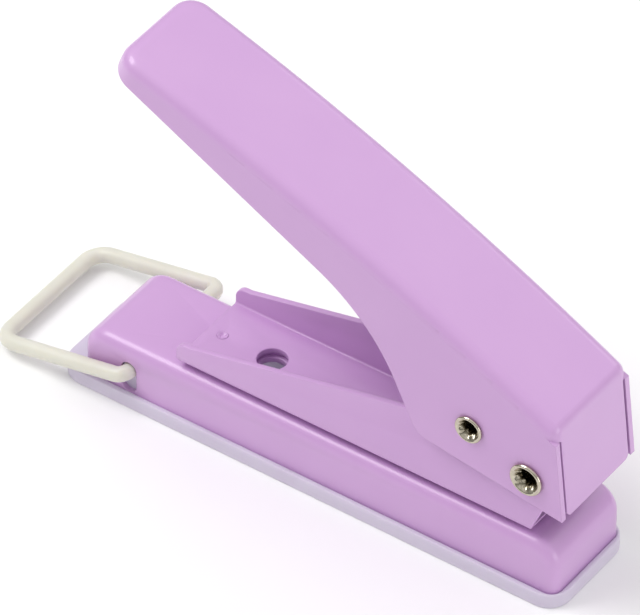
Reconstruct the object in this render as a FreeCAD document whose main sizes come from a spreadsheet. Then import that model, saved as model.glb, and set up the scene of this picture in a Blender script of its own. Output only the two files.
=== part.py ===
import FreeCAD, Part
import math
import os
import re
import Sketcher

# Single-hole lever punch. Millimetres. The origin is on the underside of the chip tray, in its middle:
# +X points to the punching end, +Y across the punch, +Z up. The pressings are symmetric about Y = 0.

DIMENSIONS = (
    # alias, value, what it is
    ("sheet_metal", 1.05, "thickness of the pressed steel of base, bracket and handle"),
    ("running_gap", 0.04, "radial clearance of a shaft in its hole"),
    # chip tray
    ("tray_rear", -47.3, "rear end of the tray, with its pull tab"),
    ("tray_front", 48.0, "front end of the tray"),
    ("tray_wide", 20.4, "outer width of the tray"),
    ("tray_tall", 2.8, "height of the outer rim"),
    ("tray_corner", 4.0, "plan radius of the tray's corners"),
    ("tray_edge", 0.4, "radius of the tray's bottom edge"),
    ("tray_floor", 1.0, "thickness of the tray's floor"),
    ("seat_level", 1.55, "level that the steel base stands on"),
    ("seat_rear", -43.15, "rear end of the seat for the base"),
    ("seat_front", 47.15, "front end of the seat for the base"),
    ("seat_wide", 18.6, "width of the seat for the base"),
    ("ring_rear", -41.6, "rear end of the wall that grips the base inside"),
    ("ring_front", 44.9, "front end of the wall that grips the base inside"),
    ("ring_wide", 15.8, "outer width of that wall"),
    ("ring_top", 4.9, "top of that wall"),
    ("ring_wall", 1.0, "thickness of that wall"),
    # base shell
    ("base_rear", -43.0, "rear end of the base shell"),
    ("base_front", 47.0, "front end of the base shell"),
    ("base_wide", 18.4, "width of the base shell"),
    ("base_foot", 1.6, "lower edge of the base shell"),
    ("base_top", 11.95, "top face of the base shell"),
    ("base_nose", 4.5, "radius from the top to the two ends"),
    ("base_edge", 2.0, "radius of the long edges and upright corners"),
    ("slot_x", -34.0, "middle of the slots for the bail"),
    ("slot_low", 2.7, "lower end of those slots"),
    ("slot_high", 8.6, "upper end of those slots"),
    ("slot_half", 1.45, "half the width of those slots"),
    # throat and bracket
    ("throat_gap", 0.9, "height of the throat that takes the sheet"),
    ("spacer_rear", -24.0, "rear end of the throat spacer"),
    ("spacer_front", 6.0, "front end of the throat spacer, the depth stop of the throat"),
    ("spacer_wide", 12.0, "width of the throat spacer"),
    ("sight_x", -12.7, "middle of the sight hole through bracket, spacer and base"),
    ("sight_bore", 2.5, "radius of the sight hole"),
    ("bracket_rear", -25.2, "rear end of the bracket"),
    ("bracket_front", 41.5, "front end of the bracket's floor"),
    ("bracket_wide", 17.0, "outer width of the bracket"),
    ("bracket_bend", 1.4, "outer radius of the bracket's two bends"),
    ("flange_rear_top", 17.05, "top of the side flanges at the rear"),
    ("flange_nose", 1.8, "radius of the flanges' upper rear corners"),
    ("flange_rise_x", 22.5, "where the flanges turn up into the ears"),
    ("flange_rise_z", 27.4, "top of the flanges there"),
    ("ear_rear_x", 26.0, "upper rear corner of the ears"),
    ("ear_rear_z", 34.0, "upper rear corner of the ears"),
    ("ear_crown_x", 35.0, "upper front corner of the ears"),
    ("ear_crown_z", 34.2, "upper front corner of the ears"),
    ("ear_nose_x", 45.4, "front edge of the ears"),
    ("ear_nose_z", 28.5, "upper end of the front edge of the ears"),
    ("ear_chin_z", 22.3, "lower end of the front edge of the ears"),
    ("ear_curve", 3.0, "radius of the ears' upper corners"),
    # lever geometry
    ("pivot_x", 42.0, "handle pivot"),
    ("pivot_z", 25.4, "handle pivot"),
    ("driver_x", 31.3, "driver pin with the handle up"),
    ("driver_z", 30.0, "driver pin with the handle up"),
    ("press_angle", 31.0, "travel of the handle in degrees"),
    ("sleeve_bore", 2.24, "bore of the pivot's spacer sleeve"),
    ("pivot_sleeve_outer", 2.8, "outer radius of the pivot's spacer sleeve"),
    ("driver_sleeve_bore", 1.94, "bore of the driver's spacer sleeve"),
    ("driver_sleeve_outer", 2.5, "outer radius of the driver's spacer sleeve"),
    ("slot_play", 0.15, "clearance of the driver's sleeve in the ears' curved slots"),
    # rivets through the handle
    ("pivot_shank", 2.2, "shank radius of the pivot rivet"),
    ("pivot_head", 2.95, "head radius of the pivot rivet"),
    ("driver_shank", 1.9, "shank radius of the driver rivet"),
    ("driver_head", 2.5, "head radius of the driver rivet"),
    ("rivet_well", 1.25, "radius of the hollow in the rivets' set ends"),
    ("rivet_well_deep", 4.0, "depth of that hollow"),
    ("rivet_rim", 0.75, "height of the rolled rim and of the domed head"),
    # handle
    ("handle_wide", 19.8, "outer width of the handle"),
    ("handle_edge", 2.2, "radius of the handle's long edges"),
    ("handle_arch", 430.0, "radius of the gentle arch of the handle's top"),
    ("rear_top_x", -34.7, "upper corner of the handle's rear end"),
    ("rear_top_z", 72.1, "upper corner of the handle's rear end"),
    ("rear_low_x", -36.2, "lower corner of the handle's rear end"),
    ("rear_low_z", 68.4, "lower corner of the handle's rear end"),
    ("waist_x", 12.7, "where the side walls start to grow deeper"),
    ("waist_z", 42.5, "where the side walls start to grow deeper"),
    ("waist_curve", 33.0, "radius of that change"),
    ("cheek_x", 21.5, "lower rear corner of the deep side walls"),
    ("cheek_z", 23.8, "lower rear corner of the deep side walls"),
    ("cheek_curve", 3.5, "radius of that corner"),
    ("chin_x", 48.5, "lower front corner of the handle"),
    ("chin_z", 19.65, "lower front corner of the handle"),
    ("brow_x", 46.75, "upper front corner of the handle"),
    ("brow_z", 37.0, "upper front corner of the handle"),
    ("brow_bend", 2.0, "bend radius at the top of the front flap"),
    ("tail_curve", 4.0, "plan radius of the handle's two rear corners"),
    ("flap_slit", 0.5, "width of the slits beside the front flap"),
    ("flap_slit_top", 34.5, "upper end of those slits"),
    ("flap_corner", 1.1, "radius of the flap's two lower corners"),
    # punch, guide and die
    ("punch_x", 30.85, "axis of the punch"),
    ("punch_bore", 3.175, "radius of the punch, for a 6.35 mm hole"),
    ("punch_top", 27.4, "upper face of the punch with the handle up"),
    ("punch_tip", 13.1, "cutting edge of the punch with the handle up"),
    ("tip_hollow", 7.0, "radius of the hollow ground across the tip"),
    ("tip_hollow_deep", 0.9, "depth of that hollow"),
    ("clip_level", 25.7, "underside of the retaining clip"),
    ("clip_thick", 0.6, "thickness of the retaining clip"),
    ("clip_outer", 5.2, "outer radius of the retaining clip"),
    ("groove_deep", 0.5, "depth of the clip's groove in the punch"),
    ("clip_mouth", 4.4, "width of the clip's open side"),
    ("washer_thick", 0.5, "thickness of the spring washer"),
    ("washer_outer", 5.4, "outer radius of the spring washer"),
    ("wire", 0.35, "radius of the spring's wire"),
    ("spring_mean", 4.5, "mean radius of the spring"),
    ("spring_turns", 4.0, "turns of the spring"),
    ("bush_flange", 5.6, "outer radius of the guide bush's flange"),
    ("bush_flange_thick", 0.8, "thickness of that flange"),
    ("bush_neck", 3.95, "outer radius of the guide bush"),
    ("bush_top", 17.1, "top of the guide bush"),
    ("die_long", 16.0, "length of the die plate"),
    ("die_wide", 13.0, "width of the die plate"),
    ("die_thick", 2.0, "thickness of the die plate"),
    ("die_corner", 1.5, "corner radius of the die plate"),
    ("die_rivet_step", 5.6, "distance of the die's rivets from the punch axis"),
    ("die_shank", 0.9, "shank radius of the die's rivets"),
    ("die_flush", 1.6, "radius of their countersunk heads"),
    # rivets that hold bracket, spacer and base together
    ("frame_rivet_rear", -22.3, "rear frame rivet"),
    ("frame_rivet_front", 3.0, "front frame rivet"),
    ("frame_shank", 0.9, "shank radius of the frame rivets"),
    ("frame_head", 1.5, "head radius of the frame rivets, under the base's top"),
    ("frame_head_thick", 0.6, "thickness of those heads"),
    # bail
    ("bail_wire", 1.3, "radius of the bail's rod"),
    ("bail_reach", 24.9, "from the bail's pivot to the middle of its rear bar"),
    ("bail_half", 12.9, "from the middle plane to the middle of each arm"),
    ("bail_end", 5.5, "from the middle plane to the tips inside the base"),
    ("bail_corner", 3.2, "bend radius of the rear corners, at the rod's middle"),
    ("bail_elbow", 1.7, "bend radius of the two ends, at the rod's middle"),
    ("bail_z", 6.9, "pivot of the bail"),
    ("bail_shift", 2.25, "sideways play of the bail, taken up towards +Y"),
    ("bail_droop", 11.2, "slope of the resting bail in degrees"),
)

doc = FreeCAD.newDocument("HolePunch")
sheet = doc.addObject("Spreadsheet::Sheet", "Dims")
for row, (alias, value, meaning) in enumerate(DIMENSIONS, start=1):
    sheet.set(f"A{row}", meaning)
    sheet.set(f"B{row}", str(value))
    sheet.setAlias(f"B{row}", alias)
doc.recompute()

VALUES = {alias: value for alias, value, meaning in DIMENSIONS}
TO_X = FreeCAD.Rotation(FreeCAD.Vector(0, 1, 0), 90)
TO_Y = FreeCAD.Rotation(FreeCAD.Vector(1, 0, 0), -90)
STAND_UP = FreeCAD.Rotation()
THROUGH = "60"


# ---- helpers -------------------------------------------------------------------------------

def linked(text):
    """The expression with every alias led by the sheet's name."""
    return re.sub(r"[a-z][a-z_]+", lambda word: "Dims." + word.group(), text)


def number(text):
    """The present value of an expression in the sheet's aliases."""
    filled = re.sub(r"[a-z][a-z_]+", lambda word: f"({VALUES[word.group()]})", text)
    scratch = sheet.evalExpression(filled)
    return float(scratch)


def bind(item, sizes):
    for prop, text in sizes.items():
        item.setExpression(prop, linked(text))


def place(item, x, y, z):
    bind(item, {"Placement.Base.x": x, "Placement.Base.y": y, "Placement.Base.z": z})


def box(name, low, size):
    """A box from its lowest corner and its three sizes, all expressions."""
    item = doc.addObject("Part::Box", name)
    bind(item, dict(zip(("Length", "Width", "Height"), size)))
    place(item, *low)
    return item


def cylinder(name, radius, length, start, turn=STAND_UP):
    """A cylinder from the middle of its first end, along Z or, turned, along Y."""
    item = doc.addObject("Part::Cylinder", name)
    item.Placement = FreeCAD.Placement(FreeCAD.Vector(), turn)
    bind(item, {"Radius": radius, "Height": length})
    place(item, *start)
    return item


def across(name, radius, x, z, half="30"):
    """A cylinder across the punch, centred on its middle plane."""
    return cylinder(name, radius, f"2 * {half}", (x, f"0 - {half}", z), TO_Y)


def cone(name, low_radius, high_radius, height, start):
    item = doc.addObject("Part::Cone", name)
    bind(item, {"Radius1": low_radius, "Radius2": high_radius, "Height": height})
    place(item, *start)
    return item


def cut(name, base, tool):
    item = doc.addObject("Part::Cut", name)
    item.Base = base
    item.Tool = tool
    return item


def cut_all(name, base, tools):
    """The base less every tool in the list."""
    if len(tools) == 1:
        return cut(name, base, tools[0])
    return cut(name, base, fuse(name + "_tools", tools))


def fuse(name, shapes):
    item = doc.addObject("Part::MultiFuse", name)
    item.Shapes = shapes
    item.Refine = True
    return item


def ring(name, outer, inner, length, start, turn=STAND_UP):
    """A tube: one cylinder less another on the same axis."""
    wall = cylinder(name + "_outer", outer, length, start, turn)
    bore = cylinder(name + "_bore", inner, length, start, turn)
    return cut(name, wall, bore)


def body(name):
    return doc.addObject("PartDesign::Body", name)


def sketch_on(owner, role, name):
    """An empty sketch on one of the body's own origin planes."""
    sketch = owner.newObject("Sketcher::SketchObject", name)
    plane = next(item for item in owner.Origin.OriginFeatures if item.Role == role)
    sketch.AttachmentSupport = (plane, [""])
    sketch.MapMode = "FlatFace"
    return sketch


def bulged(start, end, radius):
    """An arc between two points, bulging to the left for a positive radius."""
    chord = end - start
    rise = abs(radius) - math.sqrt(radius ** 2 - (chord.Length / 2) ** 2)
    left = FreeCAD.Vector(-chord.y, chord.x, 0).normalize()
    middle = (start + end) / 2 + left * math.copysign(rise, radius)
    return Part.Arc(start, middle, end)


def draw(sketch, corners, closed=True):
    """Draw runs between corners; a third entry makes the run that follows an arc.

    Every corner is tied to the sheet by its two coordinates, and every arc by its radius.
    """
    points = [FreeCAD.Vector(number(corner[0]), number(corner[1]), 0) for corner in corners]
    runs = len(corners) if closed else len(corners) - 1
    for index in range(runs):
        start, end = points[index], points[(index + 1) % len(points)]
        if len(corners[index]) == 3:
            sketch.addGeometry(bulged(start, end, number(corners[index][2])))
        else:
            sketch.addGeometry(Part.LineSegment(start, end))
    ends = [(1, 2) if run_is_forward(sketch, index, points[index]) else (2, 1) for index in range(runs)]
    for index in range(runs - (0 if closed else 1)):
        following = (index + 1) % runs
        sketch.addConstraint(
            Sketcher.Constraint("Coincident", index, ends[index][1], following, ends[following][0]))
    for index, corner in enumerate(corners):
        run, end = (index, ends[index][0]) if index < runs else (index - 1, ends[index - 1][1])
        for kind, text in (("DistanceX", corner[0]), ("DistanceY", corner[1])):
            tie = sketch.addConstraint(Sketcher.Constraint(kind, -1, 1, run, end, number(text)))
            sketch.setExpression(f"Constraints[{tie}]", linked(text))
        if len(corner) == 3:
            size = corner[2].lstrip("-")
            tie = sketch.addConstraint(Sketcher.Constraint("Radius", index, number(size)))
            sketch.setExpression(f"Constraints[{tie}]", linked(size))
    return sketch


def run_is_forward(sketch, index, start):
    """Whether a run's own first point is the corner that it was drawn from."""
    return sketch.getPoint(index, 1).distanceToPoint(start) < 1e-6


def pad(owner, sketch, name, length, symmetric=False):
    feature = owner.newObject("PartDesign::Pad", name)
    feature.Profile = sketch
    feature.setExpression("Length", linked(length))
    feature.SideType = "Symmetric" if symmetric else "One side"
    doc.recompute()
    return feature


def pocket(owner, sketch, name, length):
    """A pocket that reaches the same way to both sides of its sketch."""
    before = owner.Tip.Shape.Volume
    feature = owner.newObject("PartDesign::Pocket", name)
    feature.Profile = sketch
    feature.setExpression("Length", linked(length))
    feature.SideType = "Symmetric"
    doc.recompute()
    if not feature.Shape.Volume < before:
        raise RuntimeError(name + " removes nothing")
    return feature


def dress(owner, kind, name, base, wanted, size):
    """A fillet or chamfer on the edges of the base that the test accepts."""
    feature = owner.newObject("PartDesign::" + kind, name)
    picked = [f"Edge{n}" for n, edge in enumerate(base.Shape.Edges, start=1) if wanted(edge)]
    feature.Base = (base, picked)
    feature.setExpression("Radius" if kind == "Fillet" else "Size", linked(size))
    doc.recompute()
    return feature


def hollow(owner, name, base, wanted, wall):
    """Leave a wall inside every face but those that the test accepts, which are opened."""
    feature = owner.newObject("PartDesign::Thickness", name)
    opened = [f"Face{n}" for n, face in enumerate(base.Shape.Faces, start=1) if wanted(face)]
    feature.Base = (base, opened)
    feature.Reversed = True
    feature.setExpression("Value", linked(wall))
    doc.recompute()
    return feature


def middle_of(edge):
    return edge.BoundBox.Center


def near(value, text, within=0.01):
    return abs(value - number(text)) < within


def runs_along(edge, direction):
    """Whether an edge is straight and along X, Y or Z."""
    size = (edge.BoundBox.XLength, edge.BoundBox.YLength, edge.BoundBox.ZLength)
    others = [size[axis] for axis in range(3) if axis != direction]
    return size[direction] > 0.01 and max(others) < 1e-4


def rectangle(sketch, low_x, low_y, high_x, high_y):
    return draw(sketch, [(low_x, low_y), (high_x, low_y), (high_x, high_y), (low_x, high_y)])


# ---- chip tray -----------------------------------------------------------------------------

def make_chip_tray():
    """Plastic tray: a rim that the base stands in, and an inner wall that grips the base."""
    pan = body("tray_pan")
    plan = rectangle(sketch_on(pan, "XY_Plane", "tray_plan"), "tray_rear", "0 - tray_wide / 2",
                     "tray_front", "tray_wide / 2")
    slab = pad(pan, plan, "tray_slab", "tray_tall")
    corners = dress(pan, "Fillet", "tray_corners", slab, lambda edge: runs_along(edge, 2), "tray_corner")
    dress(pan, "Fillet", "tray_bottom_edge", corners,
          lambda edge: edge.BoundBox.ZMax < 0.01, "tray_edge")
    seat = rounded_block("tray_seat", "seat_rear", "seat_front", "seat_wide", "seat_level", "20", "base_edge")
    wall = rounded_block("tray_wall", "ring_rear", "ring_front", "ring_wide", "seat_level - 0.2",
                         "ring_top - seat_level + 0.2", "base_edge")
    chips = rounded_block("chip_space", "ring_rear + ring_wall", "ring_front - ring_wall",
                          "ring_wide - 2 * ring_wall", "tray_floor", "20", "base_edge - ring_wall")
    seated = cut("tray_seated", pan, seat)
    walled = fuse("tray_walled", [seated, wall])
    return cut("chip_tray", walled, chips)


def rounded_block(name, rear, front, wide, level, tall, corner):
    """A block with rounded upright corners, symmetric about the middle plane."""
    block = body(name)
    plan = rectangle(sketch_on(block, "XY_Plane", name + "_plan"), rear, f"0 - ({wide}) / 2",
                     front, f"({wide}) / 2")
    raised = pad(block, plan, name + "_pad", tall)
    dress(block, "Fillet", name + "_corners", raised, lambda edge: runs_along(edge, 2), corner)
    place(block, "0", "0", level)
    return block


# ---- base ----------------------------------------------------------------------------------

def make_base_shell():
    """Pressed steel channel with two closed, rounded ends, open underneath."""
    shell = body("base_pressing")
    plan = rectangle(sketch_on(shell, "XY_Plane", "base_plan"), "base_rear", "0 - base_wide / 2",
                     "base_front", "base_wide / 2")
    block = pad(shell, plan, "base_block", "base_top - base_foot")
    top = number("base_top - base_foot")
    noses = dress(shell, "Fillet", "base_noses", block,
                  lambda edge: runs_along(edge, 1) and edge.BoundBox.ZMin > top - 0.01, "base_nose")
    edges = dress(shell, "Fillet", "base_edges", noses, base_side_edge, "base_edge")
    hollow(shell, "base_hollow", edges, lambda face: face.BoundBox.ZMax < 0.01, "sheet_metal")
    place(shell, "0", "0", "base_foot")
    tools = [
        cylinder("base_sight_hole", "sight_bore", "6", ("sight_x", "0", "base_top - 3")),
        cylinder("base_punch_hole", "punch_bore + 0.3", "6", ("punch_x", "0", "base_top - 3")),
    ]
    for sign, side in ((-1, "left"), (1, "right")):
        tools += rivet_seat(f"base_die_seat_{side}", f"punch_x + {sign} * die_rivet_step")
    for end in ("rear", "front"):
        tools.append(cylinder(f"base_{end}_rivet_hole", "frame_shank", "6",
                              (f"frame_rivet_{end}", "0", "base_top - 3")))
    tools += bail_slot()
    return cut_all("base_shell", shell, tools)


def base_side_edge(edge):
    """The upright, curved and long edges in the two side planes of the base block."""
    flat = edge.BoundBox.YLength < 1e-4 and near(abs(middle_of(edge).y), "base_wide / 2")
    return flat and edge.BoundBox.ZMax > 0.01


def bail_slot():
    """The upright oval slot through both side walls."""
    low, high = "slot_low + slot_half", "slot_high - slot_half"
    return [
        across("slot_lower_end", "slot_half", "slot_x", low),
        across("slot_upper_end", "slot_half", "slot_x", high),
        box("slot_middle", ("slot_x - slot_half", "0 - 30", low),
            ("2 * slot_half", THROUGH, f"({high}) - ({low})")),
    ]


def rivet_seat(name, x):
    """Countersink and hole for one of the die's rivets."""
    return [
        cone(name + "_sink", "die_shank", "die_flush", "die_flush - die_shank",
             (x, "0", "base_top - (die_flush - die_shank)")),
        cylinder(name + "_hole", "die_shank", "6", (x, "0", "base_top - 5")),
    ]


def make_die_plate():
    """Hardened plate under the base's top, with the sharp hole that the punch enters."""
    under = "base_top - sheet_metal - die_thick"
    plate = rounded_block("die_blank", "punch_x - die_long / 2", "punch_x + die_long / 2", "die_wide",
                          under, "die_thick", "die_corner")
    tools = [cylinder("die_hole", "punch_bore + running_gap", "6", ("punch_x", "0", "base_top - 5"))]
    for sign, side in ((-1, "left"), (1, "right")):
        tools.append(cylinder(f"die_rivet_hole_{side}", "die_shank", "6",
                              (f"punch_x + {sign} * die_rivet_step", "0", "base_top - 5")))
    return cut_all("die_plate", plate, tools)


def make_die_rivets():
    """Two countersunk rivets, flush with the base's top so that sheets slide over them."""
    rivets = []
    for sign, side in ((-1, "left"), (1, "right")):
        x = f"punch_x + {sign} * die_rivet_step"
        sink = cone(f"die_rivet_head_{side}", "die_shank", "die_flush", "die_flush - die_shank",
                    (x, "0", "base_top - (die_flush - die_shank)"))
        stem = cylinder(f"die_rivet_stem_{side}", "die_shank", "sheet_metal + die_thick + 0.5",
                        (x, "0", "base_top - sheet_metal - die_thick - 0.5"))
        button = cylinder(f"die_rivet_button_{side}", "die_flush", "0.5",
                          (x, "0", "base_top - sheet_metal - die_thick - 0.5"))
        rivets.append(fuse(f"die_rivet_{side}", [sink, stem, button]))
    return compound("die_rivets", rivets)


def compound(name, items):
    group = doc.addObject("Part::Compound", name)
    group.Links = items
    return group


# ---- throat and bracket ----------------------------------------------------------------------

def make_throat_spacer():
    """Steel strip between base and bracket that sets the throat's height and depth."""
    strip = rounded_block("spacer_strip", "spacer_rear", "spacer_front", "spacer_wide", "base_top",
                          "throat_gap", "die_corner")
    tools = [cylinder("spacer_sight_hole", "sight_bore + 0.6", "6", ("sight_x", "0", "base_top - 2"))]
    for end in ("rear", "front"):
        tools.append(cylinder(f"spacer_{end}_rivet_hole", "frame_shank", "6",
                              (f"frame_rivet_{end}", "0", "base_top - 2")))
    return cut_all("throat_spacer", strip, tools)


def make_bracket():
    """Steel channel that carries the punch and the handle's pivot, with ears at the front."""
    channel = body("bracket_channel")
    under = "base_top + throat_gap"
    side = sketch_on(channel, "XZ_Plane", "bracket_side")
    draw(side, [
        ("bracket_rear", under), ("bracket_front", under), ("ear_nose_x", "ear_chin_z"),
        ("ear_nose_x", "ear_nose_z"), ("ear_crown_x", "ear_crown_z"), ("ear_rear_x", "ear_rear_z"),
        ("flange_rise_x", "flange_rise_z"), ("bracket_rear + 2.6", "flange_rear_top"),
        ("bracket_rear", "flange_rear_top"),
    ])
    block = pad(channel, side, "bracket_block", "bracket_wide", symmetric=True)
    bends = dress(channel, "Fillet", "bracket_bends", block, bracket_bottom_edge, "bracket_bend")
    rear = dress(channel, "Fillet", "flange_noses", bends,
                 lambda edge: runs_along(edge, 1) and near(middle_of(edge).x, "bracket_rear")
                 and near(middle_of(edge).z, "flange_rear_top"), "flange_nose")
    dress(channel, "Fillet", "ear_noses", rear,
          lambda edge: runs_along(edge, 1) and middle_of(edge).z > number("ear_chin_z + 1")
          and middle_of(edge).x > number("ear_rear_x - 1"), "ear_curve")
    inside = rectangle(sketch_on(channel, "YZ_Plane", "bracket_inside"),
                       "0 - bracket_wide / 2 + sheet_metal", under + " + sheet_metal",
                       "bracket_wide / 2 - sheet_metal", "60")
    trough = pocket(channel, inside, "bracket_trough", "200")
    dress(channel, "Fillet", "bracket_inner_bends", trough, bracket_inner_edge,
          "bracket_bend - sheet_metal")
    tools = [
        cylinder("bracket_sight_hole", "sight_bore", "6", ("sight_x", "0", "base_top")),
        cylinder("bracket_bush_hole", "bush_neck", "6", ("punch_x", "0", "base_top")),
        across("bracket_pivot_hole", "pivot_sleeve_outer + running_gap", "pivot_x", "pivot_z"),
    ]
    for end in ("rear", "front"):
        tools.append(cylinder(f"bracket_{end}_rivet_hole", "frame_shank", "6",
                              (f"frame_rivet_{end}", "0", "base_top")))
    tools += driver_slot()
    return cut_all("bracket", channel, tools)


def bracket_bottom_edge(edge):
    low = near(edge.BoundBox.ZMax, "base_top + throat_gap")
    return low and runs_along(edge, 0)


def bracket_inner_edge(edge):
    """The two long inner corners where the floor meets the flanges."""
    level = near(edge.BoundBox.ZMax, "base_top + throat_gap + sheet_metal")
    inner = near(abs(middle_of(edge).y), "bracket_wide / 2 - sheet_metal")
    return level and inner and runs_along(edge, 0)


def driver_slot():
    """The curved slot in both ears, an arc about the pivot that the driver's sleeve follows."""
    arm_x, arm_z = number("driver_x - pivot_x"), number("driver_z - pivot_z")
    radius = math.hypot(arm_x, arm_z)
    half = number("driver_sleeve_outer + slot_play")
    pivot = FreeCAD.Vector(number("pivot_x"), -30, number("pivot_z"))
    across_punch = FreeCAD.Vector(0, 1, 0)
    high = FreeCAD.Vector(number("driver_x"), -30, number("driver_z"))
    press = FreeCAD.Rotation(across_punch, -number("press_angle"))
    low = pivot + press.multVec(high - pivot)
    sweep = Part.makeCylinder(radius + half, 60, pivot, across_punch).cut(
        Part.makeCylinder(radius - half, 60, pivot, across_punch))
    corners = [pivot, pivot + (high - pivot) * 3, pivot + (low - pivot) * 3, pivot]
    wedge = Part.Face(Part.makePolygon(corners))
    curved = sweep.common(wedge.extrude(across_punch * 60))
    for end in (high, low):
        curved = curved.fuse(Part.makeCylinder(half, 60, end, across_punch))
    slot = doc.addObject("Part::Feature", "driver_slot")
    slot.Shape = curved.removeSplitter()
    return [slot]


def make_frame_rivets():
    """Two rivets through bracket, spacer and base; dished flush ends on top, buttons beneath."""
    rivets = []
    floor_top = "base_top + throat_gap + sheet_metal"
    under = "base_top - sheet_metal"
    for end in ("rear", "front"):
        x = f"frame_rivet_{end}"
        stem = cylinder(f"frame_rivet_stem_{end}", "frame_shank", "throat_gap + 2 * sheet_metal",
                        (x, "0", under))
        button = cylinder(f"frame_rivet_button_{end}", "frame_head", "frame_head_thick",
                          (x, "0", under + " - frame_head_thick"))
        whole = fuse(f"frame_rivet_whole_{end}", [stem, button])
        dish = cone(f"frame_rivet_dish_{end}", "frame_shank / 3", "frame_shank * 0.8", "0.3",
                    (x, "0", floor_top + " - 0.3"))
        rivets.append(cut(f"frame_rivet_solid_{end}", whole, dish))
    return compound("frame_rivets", rivets)


# ---- handle ----------------------------------------------------------------------------------

def make_handle_shell():
    """Pressed lever: an arched top, deep side walls at the front and a flap across the front."""
    lever = body("handle_pressing")
    side = sketch_on(lever, "XZ_Plane", "handle_side")
    draw(side, [
        ("rear_low_x", "rear_low_z"), ("waist_x", "waist_z"), ("cheek_x", "cheek_z"),
        ("chin_x", "chin_z"), ("brow_x", "brow_z", "-handle_arch"), ("rear_top_x", "rear_top_z"),
    ])
    block = pad(lever, side, "handle_block", "handle_wide", symmetric=True)
    waist = dress(lever, "Fillet", "handle_waist", block, corner_test("waist_x", "waist_z"), "waist_curve")
    cheek = dress(lever, "Fillet", "handle_cheek", waist, corner_test("cheek_x", "cheek_z"), "cheek_curve")
    tail = dress(lever, "Fillet", "handle_tail", cheek, rear_end_side, "tail_curve")
    edges = dress(lever, "Fillet", "handle_edges", tail, top_edge, "handle_edge")
    brow = dress(lever, "Fillet", "handle_brow", edges, brow_edge, "brow_bend")
    hollow(lever, "handle_hollow", brow, handle_open_face, "sheet_metal")
    tools = [
        across("handle_pivot_hole", "pivot_shank", "pivot_x", "pivot_z"),
        across("handle_driver_hole", "driver_shank", "driver_x", "driver_z"),
    ]
    for sign, side in ((-1, "left"), (1, "right")):
        tools += flap_edge(side, sign)
    return cut_all("handle_shell", fuse("handle_walled", [lever, make_cheek_fronts()]), tools)


def make_cheek_fronts():
    """The square front edges of the two side walls, beside the flap."""
    fronts = body("cheek_fronts")
    rear = "brow_x - 1.8"
    side = sketch_on(fronts, "XZ_Plane", "cheek_front_side")
    draw(side, [
        (rear, f"cheek_z + (chin_z - cheek_z) * ({rear} - cheek_x) / (chin_x - cheek_x)"),
        ("chin_x", "chin_z"),
        ("brow_x + (chin_x - brow_x) * (brow_z - flap_slit_top) / (brow_z - chin_z)", "flap_slit_top"),
        (rear, "flap_slit_top + 0.9"),
    ])
    pad(fronts, side, "cheek_front_block", "handle_wide", symmetric=True)
    between = rectangle(sketch_on(fronts, "YZ_Plane", "cheek_front_inside"),
                        "0 - handle_wide / 2 + sheet_metal", "0", "handle_wide / 2 - sheet_metal", "60")
    pocket(fronts, between, "cheek_front_space", "200")
    return fronts


def flap_edge(side, sign):
    """The slit between flap and side wall, and the rounding of the flap's lower corner."""
    rear, length = "brow_x - 3", "12"
    flap_half = "handle_wide / 2 - sheet_metal - flap_slit"
    turn_y = f"{sign} * ({flap_half} - flap_corner)"
    slit_y = f"{sign} * ({flap_half} + flap_slit / 2) - flap_slit / 2"
    slit = box(f"flap_slit_{side}", (rear, slit_y, "chin_z - 5"),
               (length, "flap_slit", "flap_slit_top - chin_z + 5"))
    square = box(f"flap_square_{side}", (rear, f"{turn_y} + {sign - 1} / 2 * flap_corner", "chin_z - 1"),
                 (length, "flap_corner", "flap_corner + 1"))
    round_part = cylinder(f"flap_round_{side}", "flap_corner", length,
                          (rear, turn_y, "chin_z + flap_corner"), TO_X)
    return [slit, cut(f"flap_corner_{side}", square, round_part)]


def corner_test(x, z):
    return lambda edge: runs_along(edge, 1) and near(middle_of(edge).x, x) and near(middle_of(edge).z, z)


def rear_end_side(edge):
    """The two short side edges of the handle's rear end."""
    flat = edge.BoundBox.YLength < 1e-4
    return flat and middle_of(edge).x < number("rear_top_x") and edge.Length < 10


def top_edge(edge):
    """The edges round the handle's top, but for the one that the front flap bends from."""
    point = edge.valueAt((edge.FirstParameter + edge.LastParameter) / 2)
    on_top = top_of_handle().distToShape(Part.Vertex(point.x, 0, point.z))[0] < 0.01
    return on_top and not near(point.x, "brow_x")


def top_of_handle():
    """The arched line of the handle's top in the middle plane."""
    front = FreeCAD.Vector(number("brow_x"), number("brow_z"), 0)
    rear = FreeCAD.Vector(number("rear_top_x"), number("rear_top_z"), 0)
    line = bulged(front, rear, -number("handle_arch")).toShape()
    line.rotate(FreeCAD.Vector(), FreeCAD.Vector(1, 0, 0), 90)
    return line


def brow_edge(edge):
    return runs_along(edge, 1) and middle_of(edge).x > number("brow_x - 0.1") \
        and middle_of(edge).z > number("brow_z - 0.1")


def handle_open_face(face):
    """The faces of the underside, which the pressing leaves open."""
    low_u, high_u, low_v, high_v = face.ParameterRange
    outward = face.normalAt((low_u + high_u) / 2, (low_v + high_v) / 2)
    wide = face.BoundBox.YLength > number("handle_wide") * 0.7
    return wide and outward.z < -0.1


# ---- rivets and sleeves of the handle --------------------------------------------------------

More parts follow.
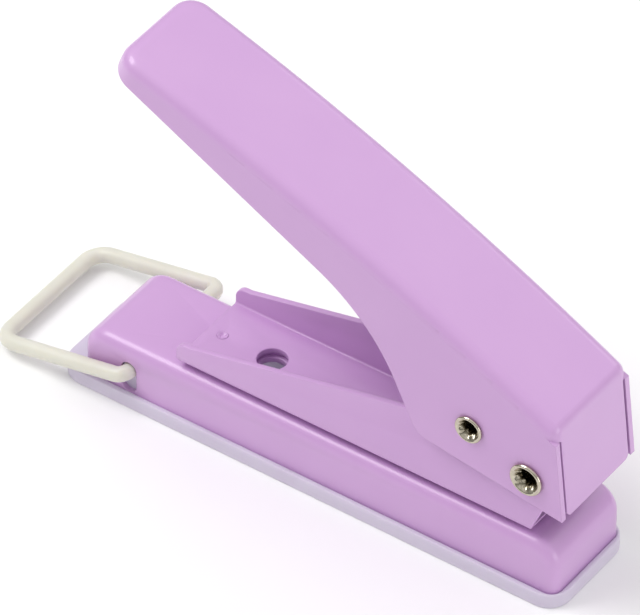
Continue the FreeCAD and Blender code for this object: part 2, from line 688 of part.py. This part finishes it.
def make_through_rivet(name, x, z, shank, head):
    """Semi-tubular rivet across the handle: domed head on one side, rolled rim on the other."""
    rivet = body(name)
    face = "handle_wide / 2"
    half = sketch_on(rivet, "XY_Plane", name + "_half")
    draw(half, [
        ("rivet_well", f"0 - {face} + rivet_well_deep"),
        ("rivet_well", f"0 - {face} - rivet_rim * 0.5", f"-({head} - rivet_well) * 0.56"),
        (head, f"0 - {face} - rivet_rim * 0.35"), (head, f"0 - {face}"), (shank, f"0 - {face}"),
        (shank, face), (head, face), (head, f"{face} + rivet_rim * 0.3", f"-{head} * 2"),
        (f"{head} * 0.35", f"{face} + rivet_rim"), ("0", f"{face} + rivet_rim"),
        ("0", f"0 - {face} + rivet_well_deep"),
    ])
    turned = rivet.newObject("PartDesign::Revolution", name + "_turned")
    turned.Profile = half
    turned.ReferenceAxis = (half, ["V_Axis"])
    turned.Angle = 360
    place(rivet, x, "0", z)
    return rivet


def make_sleeve(name, x, z, outer, bore):
    """Spacer tube between the handle's side walls, round one of the rivets."""
    length = "handle_wide - 2 * sheet_metal - 0.1"
    return ring(name, outer, bore, length, (x, "0 - handle_wide / 2 + sheet_metal + 0.05", z), TO_Y)


# ---- punch -----------------------------------------------------------------------------------

def make_guide_bush():
    """Flanged bush pressed into the bracket's floor; the punch slides in it."""
    floor = "base_top + throat_gap"
    neck = cylinder("bush_barrel", "bush_neck", f"bush_top - ({floor})", ("punch_x", "0", floor))
    collar = cylinder("bush_collar", "bush_flange", "bush_flange_thick",
                      ("punch_x", "0", floor + " + sheet_metal"))
    blank = fuse("bush_blank", [neck, collar])
    bore = cylinder("bush_bore", "punch_bore + running_gap", "20", ("punch_x", "0", "base_top"))
    return cut("guide_bush", blank, bore)


def make_punch_pin():
    """Round punch with a clip groove near its top and a hollow ground across its tip."""
    rod = cylinder("punch_rod", "punch_bore", "punch_top - punch_tip", ("punch_x", "0", "punch_tip"))
    groove = ring("punch_groove", "punch_bore + 1", "punch_bore - groove_deep", "clip_thick",
                  ("punch_x", "0", "clip_level"))
    hollow_tip = across("punch_tip_hollow", "tip_hollow", "punch_x",
                        "punch_tip + tip_hollow_deep - tip_hollow")
    return cut_all("punch_pin", rod, [groove, hollow_tip])


def make_retaining_clip():
    """Open spring-steel clip that snaps into the punch's groove."""
    whole = ring("clip_ring", "clip_outer", "punch_bore - groove_deep + 0.02", "clip_thick",
                 ("punch_x", "0", "clip_level"))
    mouth = box("clip_opening", ("punch_x", "0 - clip_mouth / 2", "clip_level - 1"),
                ("clip_outer + 1", "clip_mouth", "clip_thick + 2"))
    return cut("retaining_clip", whole, mouth)


def make_spring_washer():
    return ring("spring_washer", "washer_outer", "punch_bore + running_gap", "washer_thick",
                ("punch_x", "0", "clip_level - washer_thick"))


def make_return_spring():
    """Coil spring between guide bush and washer, with ground flat ends."""
    foot = number("base_top + throat_gap + sheet_metal + bush_flange_thick")
    head = number("clip_level - washer_thick")
    wire, mean, turns = number("wire"), number("spring_mean"), number("spring_turns")
    pitch = (head - foot) / turns
    line = Part.makeHelix(pitch, head - foot, mean)
    along = FreeCAD.Vector(0, 1, pitch / (2 * math.pi * mean))
    start = Part.Wire(Part.makeCircle(wire, FreeCAD.Vector(mean, 0, 0), along))
    coil = Part.Wire(line).makePipeShell([start], True, True)
    coil.translate(FreeCAD.Vector(number("punch_x"), 0, foot))
    slice_of_space = Part.makeBox(20, 20, head - foot - 0.04,
                                  FreeCAD.Vector(number("punch_x") - 10, -10, foot + 0.02))
    spring = doc.addObject("Part::Feature", "return_spring")
    spring.Shape = coil.common(slice_of_space)
    return spring


# ---- bail ------------------------------------------------------------------------------------

def make_bail():
    """Plastic rod bent to a loop; its ends turn inward through the base's slots."""
    loop = body("bail")
    path = sketch_on(loop, "XY_Plane", "bail_line")
    draw_bail_line(path)
    profile = sketch_on(loop, "XZ_Plane", "bail_section")
    profile.AttachmentOffset = FreeCAD.Placement(
        FreeCAD.Vector(0, 0, number("bail_end")), FreeCAD.Rotation())
    circle = profile.addGeometry(Part.Circle(FreeCAD.Vector(), FreeCAD.Vector(0, 0, 1), number("bail_wire")))
    profile.addConstraint(Sketcher.Constraint("Coincident", circle, 3, -1, 1))
    tie = profile.addConstraint(Sketcher.Constraint("Radius", circle, number("bail_wire")))
    profile.setExpression(f"Constraints[{tie}]", linked("bail_wire"))
    doc.recompute()
    pipe = loop.newObject("PartDesign::AdditivePipe", "bail_rod")
    pipe.Profile = profile
    pipe.Spine = (path, [f"Edge{n + 1}" for n in range(len(path.Geometry))])
    doc.recompute()
    droop = FreeCAD.Rotation(FreeCAD.Vector(0, 1, 0), -number("bail_droop"))
    loop.Placement = FreeCAD.Placement(FreeCAD.Vector(), droop)
    place(loop, "slot_x", "bail_shift", "bail_z")
    return loop


def draw_bail_line(sketch):
    """Half-open loop: tip, elbow, arm, corner, rear bar and the same again mirrored."""
    elbow, corner = "bail_elbow", "bail_corner"
    half, end, reach = "bail_half", "bail_end", "bail_reach"
    draw(sketch, [
        ("0", f"0 - {end}"), ("0", f"0 - ({half} - {elbow})", elbow),
        (f"0 - {elbow}", f"0 - {half}"), (f"0 - ({reach} - {corner})", f"0 - {half}", corner),
        (f"0 - {reach}", f"0 - ({half} - {corner})"), (f"0 - {reach}", f"{half} - {corner}", corner),
        (f"0 - ({reach} - {corner})", half), (f"0 - {elbow}", half, elbow),
        ("0", f"{half} - {elbow}"), ("0", end),
    ], closed=False)


# ---- the whole punch -------------------------------------------------------------------------

def make_parts():
    return [
        make_chip_tray(),
        make_base_shell(),
        make_die_plate(),
        make_die_rivets(),
        make_throat_spacer(),
        make_bracket(),
        make_frame_rivets(),
        make_guide_bush(),
        make_punch_pin(),
        make_retaining_clip(),
        make_spring_washer(),
        make_return_spring(),
        make_handle_shell(),
        make_through_rivet("pivot_rivet", "pivot_x", "pivot_z", "pivot_shank", "pivot_head"),
        make_sleeve("pivot_sleeve", "pivot_x", "pivot_z", "pivot_sleeve_outer", "sleeve_bore"),
        make_through_rivet("driver_rivet", "driver_x", "driver_z", "driver_shank", "driver_head"),
        make_sleeve("driver_sleeve", "driver_x", "driver_z", "driver_sleeve_outer", "driver_sleeve_bore"),
        make_bail(),
    ]


def check_and_write(parts):
    """Stop on any failed object or broken shape, then write one file for each part."""
    doc.recompute()
    failed = [item.Name for item in doc.Objects if "Invalid" in item.State or "Error" in item.State]
    if failed:
        raise RuntimeError("failed objects: " + ", ".join(failed))
    for part in parts:
        shape = part.Shape
        if shape.isNull() or not shape.isValid() or shape.Volume <= 0:
            raise RuntimeError(part.Label + " has no valid shape")
    os.makedirs("parts", exist_ok=True)
    for part in parts:
        part.Shape.exportStep(os.path.join("parts", part.Label + ".step"))
        size = part.Shape.BoundBox
        print(f"{part.Label:16s} {len(part.Shape.Solids)} solid(s) {part.Shape.Volume:9.1f} mm3",
              f"X {size.XMin:6.1f} {size.XMax:6.1f}  Z {size.ZMin:5.1f} {size.ZMax:5.1f}")


check_and_write(make_parts())
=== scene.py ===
# %% [markdown]
# # A hand-held hole punch in lilac steel
#
# The frame holds every rigid piece of the punch at its real size and place. This lesson gives it
# the look of the real one: the cut edges of the pressed steel are softened, the two bright rivets
# are turned again with their rolled rims, the return spring gets a copy of its own, and every
# piece gets a finish made of shader nodes.

# %% Load the frame
import math

import bmesh
import bpy
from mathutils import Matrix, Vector


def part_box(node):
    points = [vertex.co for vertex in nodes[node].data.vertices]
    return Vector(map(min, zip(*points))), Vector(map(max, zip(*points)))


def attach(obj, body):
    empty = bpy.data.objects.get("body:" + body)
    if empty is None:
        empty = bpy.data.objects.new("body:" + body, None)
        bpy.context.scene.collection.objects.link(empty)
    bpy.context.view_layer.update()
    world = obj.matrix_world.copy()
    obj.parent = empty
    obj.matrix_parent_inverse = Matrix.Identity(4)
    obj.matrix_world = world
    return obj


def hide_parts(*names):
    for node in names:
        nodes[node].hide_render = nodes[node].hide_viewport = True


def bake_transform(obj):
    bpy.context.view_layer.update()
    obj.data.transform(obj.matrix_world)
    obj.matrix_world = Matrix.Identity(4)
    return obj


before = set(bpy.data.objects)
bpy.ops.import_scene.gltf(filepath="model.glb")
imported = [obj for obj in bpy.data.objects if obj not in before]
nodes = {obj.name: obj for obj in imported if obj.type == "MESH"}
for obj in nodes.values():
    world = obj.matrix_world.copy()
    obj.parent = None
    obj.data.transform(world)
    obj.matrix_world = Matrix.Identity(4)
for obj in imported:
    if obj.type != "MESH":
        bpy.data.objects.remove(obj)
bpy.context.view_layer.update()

MM = 0.001
print("pieces in the frame:", ", ".join(sorted(nodes)))

# %% [markdown]
# ## Where the camera stands
#
# A small product is usually shown from far away with a long lens, so that its parallel edges stay
# nearly parallel. The camera is placed on a line from the middle of the punch, given by an azimuth
# and an elevation, and turned to look back along it. It comes first, so that every later step can
# be looked at.

# %% Make the camera
AZIMUTH = math.radians(35.4)
ELEVATION = math.radians(41.8)
CAMERA_DISTANCE = 1.3
CAMERA_REACH = 10
LENS = 468
LOOK_AT = Vector((-10.0, 9.0, 19.5)) * MM


def direction(azimuth, elevation):
    """The way from the object to a viewer; azimuth 0 looks along +Y."""
    flat = math.cos(elevation)
    return Vector((math.sin(azimuth) * flat, -math.cos(azimuth) * flat, math.sin(elevation)))


def aim(thing, place, target):
    """Put a camera or a light at a place and turn it towards a target."""
    thing.location = place
    thing.rotation_euler = (target - place).to_track_quat("-Z", "Y").to_euler()


camera = bpy.data.objects.new("camera", bpy.data.cameras.new("camera"))
bpy.context.scene.collection.objects.link(camera)
camera.data.lens = LENS
camera.data.clip_end = CAMERA_REACH
aim(camera, LOOK_AT + direction(AZIMUTH, ELEVATION) * CAMERA_DISTANCE, LOOK_AT)
bpy.context.scene.camera = camera
print("camera at", [round(value, 3) for value in camera.location])

# %% [markdown]
# ## Sums on sockets
#
# A finish is easier to read as sums than as boxes and wires. `Value` wraps the output socket of a
# node, and its operators add a Math node for each sum, in both orders, so that `1 - mask` works
# too. `Finish` holds one material. Its one method `node` makes any other node from its type, its
# settings and the values or links of its inputs. Numbers that are the same all over go straight on
# the shader.

# %% Two helpers for finishes
BEVEL_SAMPLES = 6


class Value:
    """The output socket of a node, which can stand in a sum."""

    def __init__(self, finish, socket):
        self.finish = finish
        self.socket = socket

    def sum(self, operation, first, second):
        return self.finish.node("ShaderNodeMath", {"operation": operation}, {0: first, 1: second})

    def __add__(self, other):
        return self.sum("ADD", self, other)

    def __radd__(self, other):
        return self.sum("ADD", other, self)

    def __sub__(self, other):
        return self.sum("SUBTRACT", self, other)

    def __rsub__(self, other):
        return self.sum("SUBTRACT", other, self)

    def __mul__(self, other):
        return self.sum("MULTIPLY", self, other)

    def __rmul__(self, other):
        return self.sum("MULTIPLY", other, self)


class Finish:
    """A material under construction."""

    def __init__(self, name, **constants):
        self.material = bpy.data.materials.new(name)
        self.material.use_nodes = True
        self.tree = self.material.node_tree
        self.shader = self.tree.nodes["Principled BSDF"]
        for key, value in constants.items():
            self.shader.inputs[key.replace("_", " ")].default_value = value

    def node(self, kind, settings=None, inputs=None, output=0):
        """Make a node; a settings key of stops fills a colour ramp."""
        made = self.tree.nodes.new(kind)
        for key, value in (settings or {}).items():
            if key == "stops":
                fill_ramp(made.color_ramp, value)
            else:
                setattr(made, key, value)
        for key, value in (inputs or {}).items():
            self.feed(made.inputs[key], value)
        return Value(self, made.outputs[output])

    def feed(self, socket, value):
        if isinstance(value, Value):
            self.tree.links.new(value.socket, socket)
        else:
            socket.default_value = value

    def varies(self, **inputs):
        """Link what changes over the surface to the shader."""
        for key, value in inputs.items():
            self.feed(self.shader.inputs[key.replace("_", " ")], value)

    def place(self, stretch=(1, 1, 1)):
        """Object coordinates, stretched."""
        spot = self.node("ShaderNodeTexCoord", output="Object")
        return self.node("ShaderNodeMapping", inputs={"Vector": spot, "Scale": stretch})

    def grain(self, size, detail=2.0, stretch=(1, 1, 1), roughness=0.5):
        """Noise from 0 to 1 whose blotches are about the given size in metres."""
        settings = {"Vector": self.place(stretch), "Scale": 1 / size, "Detail": detail,
                    "Roughness": roughness}
        return self.node("ShaderNodeTexNoise", inputs=settings)

    def blend(self, mask, low, high):
        """Mix two colours by a mask."""
        return self.node("ShaderNodeMix", {"data_type": "RGBA"}, {0: mask, 6: low, 7: high},
                         output=2)

    def bump(self, height, depth, edge=0.0):
        """A normal from a height of 0 to 1 worth a depth in metres, over edges softened by a radius."""
        inputs = {"Height": height, "Distance": depth, "Strength": 1.0}
        if edge:
            settings = {"samples": BEVEL_SAMPLES}
            inputs["Normal"] = self.node("ShaderNodeBevel", settings, {"Radius": edge})
        return self.node("ShaderNodeBump", inputs=inputs)


def fill_ramp(ramp, stops):
    while len(ramp.elements) < len(stops):
        ramp.elements.new(1.0)
    for element, (position, colour) in zip(ramp.elements, stops):
        element.position = position
        element.color = colour


def paint_over(piece, finish):
    """Give a piece one finish in its only material slot."""
    piece.data.materials.clear()
    piece.data.materials.append(finish.material)


def linear(red, green, blue):
    """A colour from the 0 to 255 values that a colour picker shows."""
    def channel(value):
        share = value / 255
        return share / 12.92 if share <= 0.04045 else ((share + 0.055) / 1.055) ** 2.4
    return (channel(red), channel(green), channel(blue), 1.0)


print("helpers ready")

# %% [markdown]
# ## Lilac paint on pressed steel
#
# The body is stoved enamel: a smooth satin coat with a faint orange peel, and a tone that differs
# a little at random. A clear coat weight gives the tight highlight over the softer one below it. A
# Bevel node under the bump rounds the shading at edges that are sharp in the mesh.

# %% Mix the paint
PAINT_EDGE = 0.15 * MM


def make_paint():
    paint = Finish("lilac_enamel", IOR=1.5, Coat_Roughness=0.12)
    tone = paint.grain(14 * MM, detail=3.0)
    peel = paint.grain(0.9 * MM, detail=1.0)
    dust = paint.grain(0.16 * MM, detail=2.0)
    colour = paint.blend(tone, linear(203, 159, 212), linear(209, 166, 216))
    paint.varies(
        Base_Color=colour,
        Roughness=0.33 + 0.06 * dust,
        Coat_Weight=0.35 + 0.1 * tone,
        Normal=paint.bump(peel * 0.8 + dust * 0.2, 0.004 * MM, edge=PAINT_EDGE),
    )
    return paint


paint = make_paint()
print("made", paint.material.name)

# %% [markdown]
# ## Two plastics
#
# The chip tray is frosted polypropylene: light goes in, scatters and comes out pale and a little
# violet from the steel inside it; a faint violet emission paints in a glow of that light, though the
# tray is no lamp. The bail is natural nylon, milky and warmer. Both need
# scattering under the surface more than they need true transparency, which would show every wall
# behind them.

# %% Mix the plastics
def make_frosted_plastic():
    # Painted light: the faint violet emission makes the tray glow, though it is no lamp.
    frosted = Finish("frosted_tray", IOR=1.49, Transmission_Weight=0.25, Subsurface_Weight=0.5,
                     Subsurface_Radius=(1.0, 0.8, 1.0), Subsurface_Scale=1.5 * MM,
                     Emission_Color=(0.92, 0.88, 1.0, 1.0), Emission_Strength=0.1)
    cloud = frosted.grain(6 * MM, detail=3.0)
    frost = frosted.grain(0.12 * MM, detail=2.0)
    frosted.varies(
        Base_Color=frosted.blend(cloud, linear(204, 192, 212), linear(218, 210, 226)),
        Roughness=0.42 + 0.12 * frost,
        Normal=frosted.bump(frost, 0.004 * MM),
    )
    return frosted


def make_nylon():
    nylon = Finish("milky_nylon", IOR=1.53, Subsurface_Weight=0.7, Subsurface_Radius=(1.0, 0.95, 0.8),
                   Subsurface_Scale=1.2 * MM, Transmission_Weight=0.12)
    cloud = nylon.grain(4 * MM, detail=3.0)
    skin = nylon.grain(0.25 * MM, detail=2.0)
    nylon.varies(
        Base_Color=nylon.blend(cloud, linear(228, 226, 213), linear(236, 235, 224)),
        Roughness=0.3 + 0.1 * skin,
        Normal=nylon.bump(skin, 0.003 * MM),
    )
    return nylon


frosted_plastic = make_frosted_plastic()
nylon = make_nylon()
print("made", frosted_plastic.material.name, "and", nylon.material.name)

# %% [markdown]
# ## Four bare metals
#
# The rivets are nickel plated and bright, with the small ripples of cold forming. The washers,
# sleeves and spacer are dull zinc, the punch and die are ground steel, and the spring and clip are
# drawn wire. One function makes the last three from a colour, a roughness, and a grain with a size
# and a depth. The nickel has a function of its own, because its dishes get painted shade broken by
# painted glints.

# %% Mix the metals
STAIN_SIZE = 5 * MM


def make_metal(name, colour, shade, rough, grain_size, depth, stretch=(1, 1, 1)):
    metal = Finish(name, Metallic=1.0)
    grain = metal.grain(grain_size, detail=3.0, stretch=stretch)
    stain = metal.grain(STAIN_SIZE, detail=3.0)
    metal.varies(
        Base_Color=metal.blend(stain, shade, colour),
        Roughness=rough + 0.12 * grain + 0.05 * stain,
        Normal=metal.bump(grain, depth),
    )
    return metal


def make_nickel():
    """Bright plate; the number called dish, stored on the rivets, darkens it with painted shade inside
    their dishes, broken by painted glints.
    """
    metal = Finish("bright_nickel", Metallic=1.0)
    ripple = metal.grain(0.7 * MM, detail=2.0)
    blotch = metal.grain(0.5 * MM, detail=3.0)
    dish = metal.node("ShaderNodeAttribute", {"attribute_name": "dish"}, output="Fac")
    stops = [(0.5, (0, 0, 0, 1)), (0.6, (1, 1, 1, 1))]
    # Painted glints: where the blotches are high, the painted shade is lifted into bright specks that
    # stand for highlights.
    painted_glint = metal.node("ShaderNodeValToRGB", {"stops": stops}, {"Fac": blotch})
    # Painted shade: the dish is blended towards dark brown by its depth.
    painted_dish_shade = dish * (1 - 0.8 * painted_glint)
    plate = metal.blend(blotch, linear(176, 168, 148), linear(216, 209, 192))
    metal.varies(
        Base_Color=metal.blend(painted_dish_shade, plate, linear(84, 77, 58)),
        Roughness=0.1 + 0.06 * ripple + 0.12 * dish,
        Normal=metal.bump(ripple * (0.25 + dish), 0.07 * MM),
    )
    return metal


nickel = make_nickel()
zinc = make_metal("dull_zinc", linear(205, 207, 210), linear(178, 181, 186), rough=0.28,
                  grain_size=0.3 * MM, depth=0.004 * MM)
ground_steel = make_metal("ground_steel", linear(176, 178, 184), linear(140, 142, 150), rough=0.18,
                          grain_size=0.5 * MM, depth=0.004 * MM, stretch=(1, 1, 12))
drawn_wire = make_metal("drawn_wire", linear(190, 190, 192), linear(150, 150, 154), rough=0.2,
                        grain_size=0.2 * MM, depth=0.003 * MM)
print("made four metals")

# %% [markdown]
# ## Softened edges
#
# A cut edge of painted sheet is never sharp: the paint rounds it, and that round catches a thin
# line of light. The frame's pieces have true sharp edges, so the bracket, the base and the tray
# are copied, their loose triangles are joined, flat areas become single faces, and the sharp edges
# are bevelled. The copy then stands for the frame's piece. The handle isn't copied: bevelling its
# curved slivers tears holes, so it keeps its mesh and only the paint's Bevel node rounds its
# shading.

# %% A copy with soft edges
STEEL_EDGE = 0.16 * MM
PLASTIC_EDGE = 0.2 * MM
CORNER_ANGLE = math.radians(40)
FLAT_ANGLE = math.radians(0.02)
SHADING_ANGLE = math.radians(35)
SAME_POINT = 0.008 * MM
SHORT_EDGE = 0.004 * MM
SLIVER_AREA = 0.001 * MM ** 2


def soft_copy(node, name, radius, body, finish):
    """A copy of a frame piece whose sharp edges are rounded; it stands for that piece."""
    mesh = bmesh.new()
    mesh.from_mesh(nodes[node].data)
    bmesh.ops.remove_doubles(mesh, verts=mesh.verts, dist=SAME_POINT)
    bmesh.ops.dissolve_degenerate(mesh, edges=mesh.edges, dist=SHORT_EDGE)
    bmesh.ops.dissolve_limit(mesh, angle_limit=FLAT_ANGLE, verts=mesh.verts, edges=mesh.edges)
    edges = [edge for edge in mesh.edges if is_corner(edge)]
    bmesh.ops.bevel(mesh, geom=edges, offset=radius, segments=2, profile=0.5, affect="EDGES",
                    clamp_overlap=False, material=-1)
    bmesh.ops.triangulate(mesh, faces=[face for face in mesh.faces if len(face.verts) > 4])
    finished(mesh, name, body, finish, (node,))


def is_corner(edge):
    """Whether a real corner runs here, and not the seam of two slivers."""
    if not edge.is_manifold or edge.calc_face_angle() < CORNER_ANGLE:
        return False
    return min(face.calc_area() for face in edge.link_faces) > SLIVER_AREA


def finished(mesh, name, body, finish, replaced):
    """Turn a bmesh into a shaded piece that stands for frame pieces and, given a body, rides on it."""
    for face in mesh.faces:
        face.smooth = True
    data = bpy.data.meshes.new(name)
    mesh.to_mesh(data)
    open_edges = sum(1 for edge in mesh.edges if not edge.is_manifold)
    mesh.free()
    data.set_sharp_from_angle(angle=SHADING_ANGLE)
    piece = bpy.data.objects.new(name, data)
    bpy.context.scene.collection.objects.link(piece)
    paint_over(piece, finish)
    if body:
        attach(piece, body)
    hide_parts(*replaced)
    print(f"{name}: {len(data.polygons)} faces, {open_edges} open edges")
    return piece


soft_copy("bracket", "bracket_pressing", STEEL_EDGE, "frame", paint)
soft_copy("base_shell", "base_pressing", STEEL_EDGE, "frame", paint)
soft_copy("chip_tray", "frosted_chip_tray", PLASTIC_EDGE, "tray", frosted_plastic)

# %% [markdown]
# ## Two turned rivets
#
# Each rivet is semi-tubular. Its far end is a plain domed head. At the near end the tube's wall
# was rolled over into a bright rim round a wide dish, whose metal is creased; the finish paints
# shade into the dish. The section is drawn beside the axis and spun round it, creases then push the
# dish's wall in and out, and a number stored at each point tells the finish how deep in the dish it
# is, so that the painted shade is deepest at its foot.

# %% Spin a rivet
RIM_INSIDE = 0.76
DISH_FOOT = 0.5
SPIN_STEPS = 56
CREASE_DEPTH = 0.15 * MM
CREASE_SWAY = 0.07


def make_rivet(name, node, shank, head):
    """A rivet of a shank's and a head's radius; the section's radii are shares of the head's."""
    low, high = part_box(node)
    middle = (low + high) / 2
    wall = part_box("handle_shell")[1].y
    rim = -low.y - wall
    dome = high.y - wall
    near_side = [
        (0, -3.2 * MM), (0.3 * head, -3.1 * MM), (0.42 * head, -2.2 * MM), (0.44 * head, -1.0 * MM),
        (DISH_FOOT * head, -0.35 * MM), (0.64 * head, 0.25 * rim), (RIM_INSIDE * head, 0.72 * rim),
        (0.86 * head, 0.98 * rim), (0.95 * head, 0.84 * rim), (head, 0.48 * rim),
        (0.95 * head, 0.12 * rim), (0.88 * head, 0.02 * MM), (shank, 0.0),
    ]
    far_side = [
        (shank, 0.0), (0.97 * head, 0.02 * MM), (head, 0.18 * dome), (0.86 * head, 0.58 * dome),
        (0.5 * head, 0.9 * dome), (0, dome),
    ]
    mesh = bmesh.new()
    points = [mesh.verts.new((radius, -wall - out, 0)) for radius, out in near_side]
    points += [mesh.verts.new((radius, wall + out, 0)) for radius, out in far_side]
    line = [mesh.edges.new(pair) for pair in zip(points, points[1:])]
    bmesh.ops.spin(mesh, geom=points + line, cent=(0, 0, 0), axis=(0, 1, 0), angle=math.tau,
                   steps=SPIN_STEPS, use_merge=True)
    bmesh.ops.remove_doubles(mesh, verts=mesh.verts, dist=0.001 * MM)
    bmesh.ops.recalc_face_normals(mesh, faces=mesh.faces)
    crease_dish(mesh, head)
    bmesh.ops.translate(mesh, verts=mesh.verts, vec=(middle.x, 0, middle.z))
    piece = finished(mesh, name, "handle", nickel, (node,))
    smoother = piece.modifiers.new("smoother", "SUBSURF")
    smoother.levels = smoother.render_levels = 2


def crease_dish(mesh, head):
    """Crease the dish, most at its foot and not at all at the rim, and store how deep a point lies."""
    depth = mesh.verts.layers.float.new("dish")
    for vertex in mesh.verts:
        share = math.hypot(vertex.co.x, vertex.co.z) / head
        if share > RIM_INSIDE or vertex.co.y > 0:
            continue
        inward = min(1.0, (RIM_INSIDE - share) / (RIM_INSIDE - DISH_FOOT))
        vertex[depth] = inward
        angle = math.atan2(vertex.co.z, vertex.co.x)
        crease = math.sin(5 * angle + 0.6 + 7 * share)
        crease += 0.7 * math.sin(9 * angle + 2.1 - 9 * share)
        vertex.co.y += CREASE_DEPTH * inward * crease
        if share > 0.1:
            vertex.co.x *= 1 + CREASE_SWAY * inward * crease
            vertex.co.z *= 1 + CREASE_SWAY * inward * crease


make_rivet("fulcrum_rivet", "pivot_rivet", shank=2.2 * MM, head=2.95 * MM)
make_rivet("drive_rivet", "driver_rivet", shank=1.9 * MM, head=2.5 * MM)

# %% [markdown]
# ## The return spring
#
# The spring's foot stays on the frame and its top goes down with the punch. A stiff copy would be
# cut by the washer that presses on it. This copy is the frame's spring with its close points joined,
# in drawn wire; it stands for the frame's piece, rides on no body and doesn't shorten.

# %% Make the copy of the coil
WIRE_SAME_POINT = 0.004 * MM


def make_return_coil():
    mesh = bmesh.new()
    mesh.from_mesh(nodes["return_spring"].data)
    bmesh.ops.remove_doubles(mesh, verts=mesh.verts, dist=WIRE_SAME_POINT)
    coil = finished(mesh, "return_coil", None, drawn_wire, ("return_spring",))
    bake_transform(coil)


make_return_coil()

# %% [markdown]
# ## Finishes for the pieces that stay
#
# The frame's own shapes are right for everything else, so those pieces only need their finish.

# %% Assign the finishes
FINISHES = {
    "bail": nylon,
    "handle_shell": paint,
    "frame_rivets": paint,
    "throat_spacer": paint,
    "die_plate": ground_steel,
    "punch_pin": ground_steel,
    "die_rivets": zinc,
    "guide_bush": zinc,
    "spring_washer": zinc,
    "pivot_sleeve": zinc,
    "driver_sleeve": zinc,
    "retaining_clip": drawn_wire,
}
for node, finish in FINISHES.items():
    paint_over(nodes[node], finish)
print("finished", len(FINISHES), "pieces")

# %% [markdown]
# ## A white table and soft light
#
# A pale floor and a sky that is bright overhead keep the shadows faint. One soft lamp from the
# upper left draws the highlight along the base's long edge, one lights the front flap, and one
# behind the punch draws a thin light line along the far edges.

# %% Floor, sky and lamps
FLOOR_SIZE = 6.0


def make_floor():
    mesh = bmesh.new()
    bmesh.ops.create_grid(mesh, x_segments=1, y_segments=1, size=FLOOR_SIZE / 2)
    data = bpy.data.meshes.new("floor")
    mesh.to_mesh(data)
    mesh.free()
    floor = bpy.data.objects.new("floor", data)
    bpy.context.scene.collection.objects.link(floor)
    white = Finish("white_table", Roughness=0.9, Specular_IOR_Level=0.1)
    cloud = white.grain(60 * MM)
    white.varies(Base_Color=white.blend(cloud, linear(250, 250, 250), linear(253, 253, 253)))
    paint_over(floor, white)


def make_lamp(name, azimuth, elevation, distance, size, power):
    """A round lamp, placed by angles in degrees and a distance in metres, of a power in watts."""
    light = bpy.data.lights.new(name, "AREA")
    light.shape = "DISK"
    light.size = size
    light.energy = power
    lamp = bpy.data.objects.new(name, light)
    bpy.context.scene.collection.objects.link(lamp)
    way = direction(math.radians(azimuth), math.radians(elevation))
    aim(lamp, LOOK_AT + way * distance, LOOK_AT)


def make_sky(horizon, zenith):
    """A white sky that is dimmer towards the horizon, so that bright metal has something dark to show."""
    sky = bpy.data.worlds.new("studio")
    sky.use_nodes = True
    tree = sky.node_tree
    way_up = tree.nodes.new("ShaderNodeSeparateXYZ")
    tree.links.new(tree.nodes.new("ShaderNodeTexCoord").outputs["Generated"], way_up.inputs[0])
    strength = tree.nodes.new("ShaderNodeMapRange")
    strength.inputs["To Min"].default_value = horizon
    strength.inputs["To Max"].default_value = zenith
    tree.links.new(way_up.outputs["Z"], strength.inputs["Value"])
    tree.links.new(strength.outputs["Result"], tree.nodes["Background"].inputs["Strength"])
    tree.nodes["Background"].inputs["Color"].default_value = (1.0, 1.0, 1.0, 1.0)
    bpy.context.scene.world = sky


make_floor()
make_sky(horizon=0.2, zenith=0.98)
make_lamp("window", azimuth=-60, elevation=55, distance=0.9, size=0.5, power=3.5)
make_lamp("front", azimuth=88, elevation=8, distance=1.0, size=0.6, power=2.4)
make_lamp("back", azimuth=165, elevation=35, distance=1.0, size=0.5, power=0.8)
bpy.context.scene.view_settings.view_transform = "Standard"
print("stage set")
